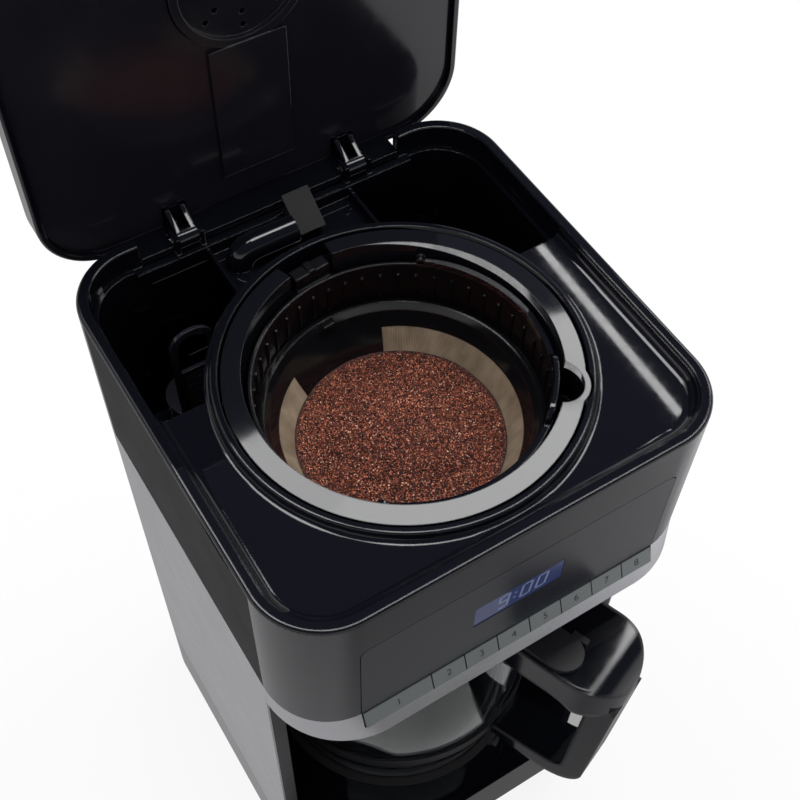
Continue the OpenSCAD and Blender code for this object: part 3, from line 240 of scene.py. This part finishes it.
FINISHES = {
    # glossy and satin black plastics
    "gloss_black": dict(
        color=(0.0035, 0.0038, 0.006), rough=(0.015, 0.045), grain=300.0, grain_depth=3e-7,
        wave=3e-6, edge=0.0007,
    ),
    "black_plastic": dict(
        color=(0.012, 0.012, 0.014), rough=(0.28, 0.42), grain=1500.0, grain_depth=8e-6,
    ),
    "shell_black": dict(
        color=(0.011, 0.011, 0.014), vary=0.05, rough=(0.16, 0.2), grain=3000.0, grain_depth=2e-7,
    ),
    "basket_black": dict(
        color=(0.005, 0.0045, 0.006), rough=(0.12, 0.24), grain=420.0, grain_depth=2e-6,
        edge=0.0012, wall=0.08,
    ),
    "ring_black": dict(
        color=(0.006, 0.0065, 0.009), rough=(0.05, 0.12), grain=260.0, grain_depth=1.2e-6,
        edge=0.0005, wall=0.2, lead_in=(0.111, 0.3442, 3.3),
    ),
    "filter_black": dict(
        color=(0.005, 0.005, 0.006), rough=(0.06, 0.12), grain=420.0, grain_depth=1e-6,
        edge=0.0012, wall=0.2,
    ),
    "lid_black": dict(
        color=(0.0115, 0.011, 0.0155), rough=(0.08, 0.2), grain=240.0, grain_depth=2e-6,
        wave=5e-5, edge=0.0006,
    ),
    "handle_black": dict(
        color=(0.005, 0.0055, 0.008), rough=(0.05, 0.12), grain=260.0, grain_depth=1e-6,
        edge=0.0032,
    ),
    # greys, the display and the buttons
    "side_grey": dict(
        color=(0.0125, 0.0125, 0.0125), rough=(0.55, 0.7), grain=2600.0, grain_depth=3e-5,
        edge=0.0003, specular=0.25,
    ),
    "panel_grey": dict(
        color=(0.022, 0.023, 0.031), vary=0.03, rough=(0.19, 0.22), grain=3000.0,
        grain_depth=1e-7, edge=0.0003,
    ),
    "flap_grey": dict(
        color=(0.014, 0.014, 0.014), rough=(0.5, 0.62), grain=1900.0, grain_depth=2e-5,
        specular=0.3,
    ),
    "lever_grey": dict(color=(0.022, 0.022, 0.024), rough=(0.36, 0.46), grain=1700.0),
    "button_grey": dict(
        color=(0.2, 0.22, 0.22), vary=0.05, rough=(0.3, 0.4), metallic=0.2, grain=1800.0,
        grain_depth=6e-6, edge=0.00035,
    ),
    "mark_dark": dict(color=(0.02, 0.022, 0.024), rough=(0.4, 0.5), edge=0.0),
    "display_blue": dict(
        color=(0.06, 0.08, 0.21), vary=0.1, rough=(0.05, 0.1), grain=200.0, grain_depth=6e-7,
        edge=0.0002, coat=0.3,
    ),
    "digit_pale": dict(color=(0.26, 0.31, 0.5), rough=(0.2, 0.3), edge=0.0),
    "display_case": dict(color=(0.22, 0.26, 0.32), rough=(0.4, 0.55)),
    # metals
    "stainless": dict(
        color=(0.6, 0.6, 0.62), vary=0.06, rough=(0.22, 0.36), metallic=1.0, grain=500.0,
        grain_depth=8e-6, edge=0.0003, stretch=(0.05, 0.05, 6.0), aniso=0.5,
    ),
    "aluminium": dict(
        color=(0.6, 0.61, 0.63), rough=(0.4, 0.55), metallic=1.0, grain=700.0, grain_depth=4e-5,
    ),
    "pin_steel": dict(
        color=(0.62, 0.62, 0.64), rough=(0.18, 0.3), metallic=1.0, grain=1500.0,
        stretch=(8.0, 1.0, 1.0),
    ),
    "spring_steel": dict(color=(0.65, 0.65, 0.68), rough=(0.15, 0.25), metallic=1.0, edge=0.0),
    # what is inside or underneath
    "plate_coating": dict(
        color=(0.018, 0.018, 0.02), rough=(0.32, 0.45), grain=1600.0, grain_depth=2e-5,
    ),
    "circuit_green": dict(color=(0.01, 0.1, 0.03), rough=(0.3, 0.5), grain=400.0),
    "rubber_black": dict(
        color=(0.011, 0.011, 0.012), rough=(0.7, 0.85), grain=1200.0, grain_depth=3e-5,
    ),
    "silicone_pale": dict(color=(0.6, 0.57, 0.5), rough=(0.4, 0.5), grain=300.0, sheen=0.1),
    "silicone_red": dict(color=(0.52, 0.07, 0.03), rough=(0.45, 0.6), sheen=0.1),
    "ceramic": dict(color=(0.66, 0.62, 0.54), rough=(0.6, 0.75)),
    "valve_white": dict(color=(0.5, 0.48, 0.43), rough=(0.35, 0.45)),
}

UPRIGHT_WIRES = 420.0  # round the cone
LEVEL_WIRES = 9000.0  # radians of their sine wave per metre of height
LEVEL_WIRE_SHARE = 0.35  # how strongly the level wires show beside the upright ones
WIRE_TONE = 0.16
WIRE_DEPTH = 6e-5


def mesh_gold():
    """Fine woven mesh: upright wires that follow the cone, crossed by fainter level ones."""
    m, g = new_material("gold_mesh")
    coords = g.coords()
    x, y, z = g.split(coords)
    turn = g.math("ARCTAN2", g.math("SUBTRACT", y, BREW.y), x)
    upright = g.math("SINE", g.math("MULTIPLY", turn, UPRIGHT_WIRES))
    level = g.math("SINE", g.math("MULTIPLY", z, LEVEL_WIRES))
    weave = g.math("MULTIPLY_ADD", level, LEVEL_WIRE_SHARE, upright)
    streak = g.noise(coords, scale=60.0, stretch=(3.0, 3.0, 0.15))
    tone = g.math("MULTIPLY_ADD", weave, WIRE_TONE, streak)
    set_shader(g, {
        "Base Color": g.mix_colors(tone, (0.22, 0.172, 0.112), (0.74, 0.61, 0.44)),
        "Normal": g.bump(weave, WIRE_DEPTH),
        "Roughness": g.map_range(streak, low=0.42, high=0.6),
        "Metallic": 0.55,
    })
    return m


# grain colours by tone; the skin's darkest tones here are painted shade between the grains
GRAIN_COLORS = (
    (0.0, (0.014, 0.009, 0.011)),
    (0.3, (0.085, 0.03, 0.024)),
    (0.6, (0.36, 0.106, 0.062)),
    (0.85, (0.72, 0.26, 0.16)),
    (1.0, (1.0, 0.72, 0.5)),
)


def coffee():
    """Ground coffee: each grain's colour follows the tone kept on its points."""
    m, g = new_material("grounds")
    tone = g.add("ShaderNodeAttribute", attribute_name="tone").outputs["Fac"]
    fine = g.noise(g.coords(), scale=2600.0, detail=2.0)
    set_shader(g, {
        "Base Color": g.color_band(tone, GRAIN_COLORS),
        "Normal": g.bump(fine, distance=8e-5),
        "Roughness": g.map_range(fine, low=0.6, high=0.85),
        "Specular IOR Level": 0.2,
    })
    return m


def clear_glass():
    """Slightly wavy blown glass."""
    m, g = new_material("glass")
    coords = g.coords()
    set_shader(g, {
        "Base Color": (0.93, 0.97, 0.97, 1),
        "Normal": g.bump(g.noise(coords, scale=26.0, detail=1.0), distance=4e-5),
        "Roughness": g.map_range(g.noise(coords, scale=60.0), low=0.0, high=0.03),
        "Transmission Weight": 1.0,
        "IOR": 1.47,
    })
    return m


mats = {name: surface(name, **finish) for name, finish in FINISHES.items()}
mats["gold_mesh"] = mesh_gold()
mats["grounds"] = coffee()
mats["glass"] = clear_glass()


# ---------------------------------------------------------------- CAD nodes

JOIN_DISTANCE = 2e-6
SMOOTH_BELOW = math.radians(28)
FLAT_ABOVE = 0.99995  # a face with a part of its normal above this looks along an axis


def smooth_group():
    """Geometry nodes that join split points and shade smooth below a crease angle.

    Faces that look along an axis keep a crease round them, so that the curves beside a flat don't
    bend its shading.
    """
    tree = bpy.data.node_groups.new("smooth_by_angle", "GeometryNodeTree")
    for way in ("INPUT", "OUTPUT"):
        tree.interface.new_socket("Geometry", in_out=way, socket_type="NodeSocketGeometry")
    g = Graph(tree)
    start = g.add("NodeGroupInput").outputs[0]
    joined = g.add("GeometryNodeMergeByDistance", {0: start, "Distance": JOIN_DISTANCE}).outputs[0]
    faces = g.add("GeometryNodeSetShadeSmooth", {"Geometry": joined}, domain="FACE").outputs[0]
    angle = g.add("GeometryNodeInputMeshEdgeAngle").outputs["Unsigned Angle"]
    gentle = g.add(
        "FunctionNodeCompare", {0: angle, 1: SMOOTH_BELOW}, data_type="FLOAT", operation="LESS_THAN"
    ).outputs[0]
    normal = g.add("GeometryNodeInputNormal").outputs["True Normal"]
    x, y, z = (g.math("ABSOLUTE", part) for part in g.split(normal))
    flat = g.math("GREATER_THAN", g.math("MAXIMUM", g.math("MAXIMUM", x, y), z), FLAT_ABOVE)
    by_face = g.add("GeometryNodeFieldOnDomain", {0: flat}, domain="FACE", data_type="FLOAT")
    # an edge between a flat and another face has the mean of 1 and 0
    border = g.math("COMPARE", by_face.outputs[0], 0.5, 0.3)
    inner = g.add("FunctionNodeBooleanMath", {0: gentle, 1: border}, operation="NIMPLY").outputs[0]
    inputs = {"Geometry": faces, "Shade Smooth": inner}
    edges = g.add("GeometryNodeSetShadeSmooth", inputs, domain="EDGE").outputs[0]
    g.add("NodeGroupOutput", {0: edges})
    return tree


# nodes whose finish differs a little from the rest of their slot
OWN_FINISHES = {
    "brew_basket": "basket_black",
    "brew_chamber": "ring_black",
    "carafe_handle": "handle_black",
    "carafe_lever": "lever_grey",
    "filter_frame": "filter_black",
    "head_shell": "shell_black",
    "lid_duct": "lid_black",
    "lid_liner": "lid_black",
    "spout_flap": "flap_grey",
    "water_filter_holder": "lid_black",
}


def dress_nodes():
    """Gives each CAD node its finish, smooth shading, and flats that stay flat."""
    smooth = smooth_group()
    slots = {part["node"]: part["material_slot"] for part in frame["record"]["subparts"]}
    for name, obj in nodes.items():
        material = mats[OWN_FINISHES.get(name, slots[name])]
        if not obj.data.materials:
            obj.data.materials.append(material)
        for place in obj.material_slots:
            place.material = material
        obj.modifiers.new("smooth", "NODES").node_group = smooth
        flat = obj.modifiers.new("flat_faces", "WEIGHTED_NORMAL")
        flat.keep_sharp = True
        flat.weight = 100


dress_nodes()


# ---------------------------------------------------------------- new pieces


def add_object(name, mesh, material):
    obj = bpy.data.objects.new(name, mesh)
    bpy.context.scene.collection.objects.link(obj)
    mesh.materials.append(mats[material])
    return obj


def finish_piece(bm, name, material, body):
    """Turns a bmesh into a piece that rides on that body."""
    bmesh.ops.recalc_face_normals(bm, faces=bm.faces)
    mesh = bpy.data.meshes.new(name)
    bm.to_mesh(mesh)
    bm.free()
    obj = add_object(name, mesh, material)
    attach(obj, body)
    return obj


# Coffee heap: a rough skin with loose grains over it, inside the filter's cone. The skin is painted
# dark, as painted shade between the grains.
WALL_GAP, FOOT_GAP = 0.0005, 0.0004  # what keeps the skin inside the CAD heap
EDGE_DEPTH = 0.0525  # of the heap's edge below the machine's rim
CONE_SLOPE = math.tan(math.radians(30.5))  # how fast the filter's cone widens
heap_low, heap_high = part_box("coffee_grounds")
HEAP_R = (heap_high[0] - heap_low[0]) / 2 - WALL_GAP
HEAP_TOP_Z = heap_high[2]
HEAP_EDGE_Z = RIM_Z - EDGE_DEPTH
FOOT_Z = heap_low[2] + FOOT_GAP
FOOT_R = HEAP_R - (HEAP_EDGE_Z - FOOT_Z) * CONE_SLOPE
RINGS, SPOKES = 80, 260
TURNS = [math.tau * j / SPOKES for j in range(SPOKES)]
NEIGHBOURS = [(j, (j + 1) % SPOKES) for j in range(SPOKES)]
# the heap's unevenness: height, cells per metre, and the level at which the noise is cut
LUMPS = ((0.0014, 70, 0.3), (0.0007, 220, 5.0))
EDGE_LUMPS, LUMPS_INWARD = 0.35, 5  # its share at the edge, and how fast that grows inwards
SKIN_SINK = 0.0005  # the skin lies below the grains
# the skin's tones stay dark up to this, as painted shade in the gaps between the grains
SKIN_PAINTED_SHADE_TONE = 0.3
GRAINS = 34000
GRAIN_SIZES = (0.0003, 0.00036, 0.00044, 0.00056)
GRAIN_SINK = (-0.0001, 0.0005)
GRAIN_REACH = 0.985  # share of the heap's radius that grains lie on
EDGE_ZONE, EDGE_SIZE = 0.96, 0.6  # past this share of the radius, grains shrink to this
SPIN, TILT = 6.28, 3.14  # radians, the most that a grain is turned
GRAIN_WIDTHS = (0.55, 1.0)  # shares of its size, along each axis
CORNER_REACH, CORNER_SHIFT = (0.75, 1.15), 0.3
TONE_MEAN, TONE_SPREAD, TONE_TOP = 0.47, 0.25, 0.94
PALE_SHARE, PALE_TONES = 0.008, (0.92, 1.0)


def round_axis(r, turn, z):
    return Vector((r * math.cos(turn), r * math.sin(turn), z))


def heap_point(r, turn, sink):
    """A point that far from the axis, and that far below the heap's uneven surface."""
    inward = 1 - r / HEAP_R
    z = HEAP_EDGE_Z + (HEAP_TOP_Z - HEAP_EDGE_Z) * (1 - math.cos(math.pi * inward)) / 2
    p = round_axis(r, turn, z - sink)
    lump = -LUMPS[0][0]
    for height, scale, level in LUMPS:
        lump += noise.noise(Vector((p.x, p.y, level)) * scale) * height
    p.z += lump * min(1.0, EDGE_LUMPS + inward * LUMPS_INWARD)
    return p + BREW


def add_ring(bm, layer, points, tones):
    ring = []
    for point, tone in zip(points, tones):
        v = bm.verts.new(point)
        v[layer] = tone
        ring.append(v)
    return ring


def add_skin(bm, layer):
    """The closed body of the heap: its top, the cone below it, and its foot, painted dark as painted
    shade between the grains.
    """
    center = bm.verts.new(heap_point(0, 0, SKIN_SINK))
    center[layer] = SKIN_PAINTED_SHADE_TONE
    rings = []
    for i in range(1, RINGS + 1):
        points = [heap_point(HEAP_R * i / RINGS, turn, SKIN_SINK) for turn in TURNS]
        tones = [random.uniform(0.0, SKIN_PAINTED_SHADE_TONE) for _ in TURNS]
        rings.append(add_ring(bm, layer, points, tones))
    foot = [BREW + round_axis(FOOT_R, turn, FOOT_Z) for turn in TURNS]
    rings.append(add_ring(bm, layer, foot, [SKIN_PAINTED_SHADE_TONE] * SPOKES))
    for j, k in NEIGHBOURS:
        bm.faces.new((center, rings[0][j], rings[0][k]))
    for inner, outer in zip(rings, rings[1:]):
        for j, k in NEIGHBOURS:
            bm.faces.new((inner[j], outer[j], outer[k], inner[k]))
    bm.faces.new(rings[-1][::-1])


def add_grain(bm, layer, center, size, tone):
    """A rough grain with eight faces: two points on each axis, moved a little sideways."""
    spin = Matrix.Rotation(random.uniform(0, SPIN), 3, "Z")
    turn = spin @ Matrix.Rotation(random.uniform(0, TILT), 3, "X")
    widths = [size * random.uniform(*GRAIN_WIDTHS) for _ in range(3)]
    corners = []
    for axis in range(3):
        for sign in (-1, 1):
            v = [0.0, 0.0, 0.0]
            v[axis] = sign * widths[axis] * random.uniform(*CORNER_REACH)
            v[(axis + 1) % 3] = random.uniform(-CORNER_SHIFT, CORNER_SHIFT) * size
            corner = bm.verts.new(center + turn @ Vector(v))
            corner[layer] = tone
            corners.append(corner)
    x0, x1, y0, y1, z0, z1 = corners
    for tri in (
        (x1, y1, z1), (y1, x0, z1), (x0, y0, z1), (y0, x1, z1),
        (y1, x1, z0), (x0, y1, z0), (y0, x0, z0), (x1, y0, z0),
    ):
        bm.faces.new(tri)


def scatter_grains(bm, layer):
    for _ in range(GRAINS):
        r = HEAP_R * math.sqrt(random.random()) * GRAIN_REACH
        turn = random.uniform(0, math.tau)
        size = random.choice(GRAIN_SIZES) * (EDGE_SIZE if r > HEAP_R * EDGE_ZONE else 1)
        tone = min(TONE_TOP, max(0.0, random.gauss(TONE_MEAN, TONE_SPREAD)))
        if random.random() < PALE_SHARE:
            tone = random.uniform(*PALE_TONES)
        center = heap_point(r, turn, random.uniform(*GRAIN_SINK))
        add_grain(bm, layer, center, size, tone)


def coffee_heap():
    bm = bmesh.new()
    layer = bm.verts.layers.float.new("tone")
    add_skin(bm, layer)
    scatter_grains(bm, layer)
    obj = finish_piece(bm, "ground_coffee", "grounds", "filter")
    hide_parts("coffee_grounds")


coffee_heap()


# Plain clock digits on the display, a hair in front of the window.
TIME = "9:00"
SEGMENTS = {"0": "abcdef", "9": "abcfgd"}  # the lit bars of each digit
DIGITS_LEFT, DIGITS_FOOT = 0.0105, 0.0027  # from the window's left and lower edges
DIGIT_SHARE = 0.68  # of the window's height
DIGIT_PROUD = 6e-5
DIGIT_LEAN = 0.12
# shares of a digit's height: widths, gaps, and where the colon's dots stand
DIGIT_W, BAR_W, DIGIT_GAP, COLON_GAP = 0.52, 0.1, 0.2, 0.22
COLON_FEET = (0.3, 0.65)


def segment_spans(height):
    """Each bar of a digit as x0, z0, x1, z1, from the digit's lower left corner."""
    w = height * DIGIT_W
    t = height * BAR_W
    mid = height / 2
    return {
        "a": (t, height - t, w - t, height),
        "b": (w - t, mid, w, height - t / 2),
        "c": (w - t, t / 2, w, mid),
        "d": (t, 0, w - t, t),
        "e": (0, t / 2, t, mid),
        "f": (0, mid, t, height - t / 2),
        "g": (t, mid - t / 2, w - t, mid + t / 2),
    }


def display_digits():
    """The time in seven-segment digits on the display window, as thin raised bars."""
    bm = bmesh.new()
    low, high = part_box("lcd_window")
    height = (high[2] - low[2]) * DIGIT_SHARE
    origin = Vector((low[0] + DIGITS_LEFT, low[1], low[2] + DIGITS_FOOT))

    def bar(x, span):
        x0, z0, x1, z1 = span
        corners = []
        for y in (-DIGIT_PROUD, 0.0):
            for px, pz in ((x0, z0), (x1, z0), (x1, z1), (x0, z1)):
                corners.append(bm.verts.new(origin + Vector((x + px + pz * DIGIT_LEAN, y, pz))))
        front, rear = corners[:4], corners[4:]
        bm.faces.new(front)
        bm.faces.new(rear[::-1])
        for j in range(4):
            k = (j + 1) % 4
            bm.faces.new((front[j], rear[j], rear[k], front[k]))

    spans = segment_spans(height)
    dot = height * BAR_W
    x = 0.0
    for sign in TIME:
        if sign == ":":
            for foot in COLON_FEET:
                bar(x, (0, height * foot, dot, height * foot + dot))
            x += dot + height * COLON_GAP
        else:
            for segment in SEGMENTS[sign]:
                bar(x, spans[segment])
            x += height * (DIGIT_W + DIGIT_GAP)
    finish_piece(bm, "display_digits", "digit_pale", "machine")


display_digits()


# Plain numbers on the buttons.
BUTTONS = 8
MARK_SIZE = 0.0052
MARK_THICK = 3e-5
MARK_DROP = 0.0049  # from the seam down the slope to the middle of the number
MARK_PROUD = 0.00032


def number_mesh(number):
    """A flat number, as a mesh in the XY plane."""
    font = bpy.data.curves.new("mark", "FONT")
    font.body = str(number)
    font.size = MARK_SIZE
    font.align_x = "CENTER"
    font.align_y = "CENTER"
    font.extrude = MARK_THICK
    font.resolution_u = 4
    text = bpy.data.objects.new("mark_source", font)
    bpy.context.scene.collection.objects.link(text)
    bpy.context.view_layer.update()
    mesh = bpy.data.meshes.new_from_object(text)
    bpy.data.objects.remove(text)
    return mesh


def button_mark(number):
    """A plain number on the sloping face of its button."""
    low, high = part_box(f"button_{number}")
    outward = Vector((0, -math.cos(SLOPE), math.sin(SLOPE)))
    up = Vector((0, math.sin(SLOPE), math.cos(SLOPE)))
    turn = Matrix((Vector((1, 0, 0)), up, outward)).transposed().to_4x4()
    seam = Vector(((low[0] + high[0]) / 2, FRONT_Y, SEAM_Z))
    mesh = number_mesh(number)
    mesh.transform(Matrix.Translation(seam - up * MARK_DROP + outward * MARK_PROUD) @ turn)
    obj = add_object(f"mark_{number}", mesh, "mark_dark")
    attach(obj, f"key_{number}")


for number in range(1, BUTTONS + 1):
    button_mark(number)


# ---------------------------------------------------------------- stage, light and camera

FLOOR_SIZE = 8.0
FLOOR_GREY = 0.86
FLOOR_WHITE = 0.88  # share of plain white in the floor that the camera sees, the rest being lit
REFLECTION_BAND_SPAN = (-0.5, 0.5)  # stretch of X that the painted reflection bands cover
# share of the way across that stretch, and the brightness of the painted reflection there
REFLECTION_BANDS = (
    (0.0, 0.46), (0.38, 0.46), (0.46, 0.22), (0.6, 0.24), (0.73, 0.42), (0.86, 0.95), (1.0, 1.0),
)
# the painted reflection is tinted a little blue
REFLECTION_BAND_BLUE = 1.02


def stage_floor():
    """A pale floor.

    Mirrored in the machine, it glows with a painted reflection: a dark band in the middle, a lighter
    grey one at the left, and white at the right.
    """
    m, g = new_material("floor_white")
    seen, mirrored = g.rays()
    across = g.map_range(g.split(g.coords())[0], 0.0, 1.0, REFLECTION_BAND_SPAN)
    painted_reflection = g.color_band(
        across, [(place, (level, level, level * REFLECTION_BAND_BLUE)) for place, level in REFLECTION_BANDS]
    )
    diffuse = g.add("ShaderNodeBsdfDiffuse", {0: (FLOOR_GREY, FLOOR_GREY, FLOOR_GREY, 1)})
    reflection_glow = g.add("ShaderNodeEmission", {0: painted_reflection})
    white_glow = g.add("ShaderNodeEmission")
    # reflections see the floor glow with the painted reflection bands, other rays see it lit
    lit = g.mix_shaders(mirrored, diffuse.outputs[0], reflection_glow.outputs[0])
    whole = g.mix_shaders(g.math("MULTIPLY", seen, FLOOR_WHITE), lit, white_glow.outputs[0])
    g.add("ShaderNodeOutputMaterial", {0: whole})
    return m


bpy.ops.mesh.primitive_plane_add(size=FLOOR_SIZE, location=(0, 0, 0))
floor = bpy.context.object
floor.name = "floor"
floor.data.materials.append(stage_floor())

SKY_LOW, SKY_HIGH = (1.0, 1.0, 1.0), (0.085, 0.09, 0.125)
SKY_SPAN = (0.22, 0.5)  # heights between which the mirrored sky goes from low to high
FILL_COLOR, FILL = (0.97, 0.98, 1.0, 1), 0.5


def world_light():
    """White for the camera, an even fill, and in reflections a sky that is dim overhead."""
    world = bpy.data.worlds.new("studio")
    bpy.context.scene.world = world
    world.use_nodes = True
    g = Graph(world.node_tree)
    seen, mirrored = g.rays()
    direction = g.add("ShaderNodeTexCoord").outputs["Generated"]
    height = g.map_range(
        g.split(direction)[2], 0.0, 1.0, SKY_SPAN, interpolation_type="SMOOTHSTEP"
    )
    sky = g.add("ShaderNodeBackground", {0: g.mix_colors(height, SKY_LOW, SKY_HIGH)})
    fill = g.add("ShaderNodeBackground", {0: FILL_COLOR, 1: FILL})
    white = g.add("ShaderNodeBackground", {0: (1, 1, 1, 1)})
    lit = g.mix_shaders(mirrored, fill.outputs[0], sky.outputs[0])
    g.add("ShaderNodeOutputWorld", {0: g.mix_shaders(seen, lit, white.outputs[0])})


world_light()

LAMP_Z = 1.345
# each soft box: its span in X and in Y, its radiance, and its turn about its middle
LAMPS = {
    "box_front": ((-0.05, 0.92), (-0.03, 0.24), 9.0, 0.0),
    "box_right": ((0.82, 1.25), (0.21, 0.66), 8.0, 0.0),
    "box_left": ((-0.36, -0.05), (0.12, 0.62), 8.0, 0.0),
    "box_join": ((-0.05, 0.05), (0.24, 0.5), 8.0, 0.0),
    "strip": ((0.52, 0.87), (0.522, 0.535), 9.0, 1.534),
    "box_dim": ((-0.6, -0.05), (0.56, 1.15), 1.4, 0.0),
}


def soft_box(name, x_span, y_span, radiance, turn):
    """A level area lamp that spans those coordinates and shines down."""
    lamp = bpy.data.lights.new(name, "AREA")
    lamp.shape = "RECTANGLE"
    lamp.size = x_span[1] - x_span[0]
    lamp.size_y = y_span[1] - y_span[0]
    lamp.energy = radiance * math.pi * lamp.size * lamp.size_y
    obj = bpy.data.objects.new(name, lamp)
    obj.location = (sum(x_span) / 2, sum(y_span) / 2, LAMP_Z)
    obj.rotation_euler = (0, 0, turn)
    obj.visible_camera = False
    bpy.context.scene.collection.objects.link(obj)


for name, lamp in LAMPS.items():
    soft_box(name, *lamp)

# The photograph's camera: where it looks from and to, its roll, and its focal length in pixels.
AZIMUTH, ELEVATION, ROLL = math.radians(-33.337), math.radians(55.177), math.radians(-1.845)
DISTANCE = 0.483996
TARGET = Vector((-0.011252, -0.017873, 0.345))
FOCAL_PX, FRAME_PX = 1262.738, 800.0
SENSOR_MM = 36.0


def photo_camera():
    back = Vector((
        math.sin(AZIMUTH) * math.cos(ELEVATION),
        -math.cos(AZIMUTH) * math.cos(ELEVATION),
        math.sin(ELEVATION),
    ))
    look = -back
    right = look.cross(Vector((0, 0, 1))).normalized()
    down = look.cross(right)
    rolled_right = right * math.cos(ROLL) + down * math.sin(ROLL)
    rolled_down = down * math.cos(ROLL) - right * math.sin(ROLL)
    data = bpy.data.cameras.new("camera")
    data.sensor_width = SENSOR_MM
    data.sensor_fit = "HORIZONTAL"
    data.lens = FOCAL_PX * SENSOR_MM / FRAME_PX
    data.clip_start = 0.01
    data.clip_end = 50.0
    camera = bpy.data.objects.new("camera", data)
    turn = Matrix((rolled_right, -rolled_down, back)).transposed().to_4x4()
    camera.matrix_world = Matrix.Translation(TARGET + back * DISTANCE) @ turn
    bpy.context.scene.collection.objects.link(camera)
    return camera


bpy.context.scene.camera = photo_camera()
bpy.context.scene.view_settings.view_transform = "Standard"

bpy.context.view_layer.update()
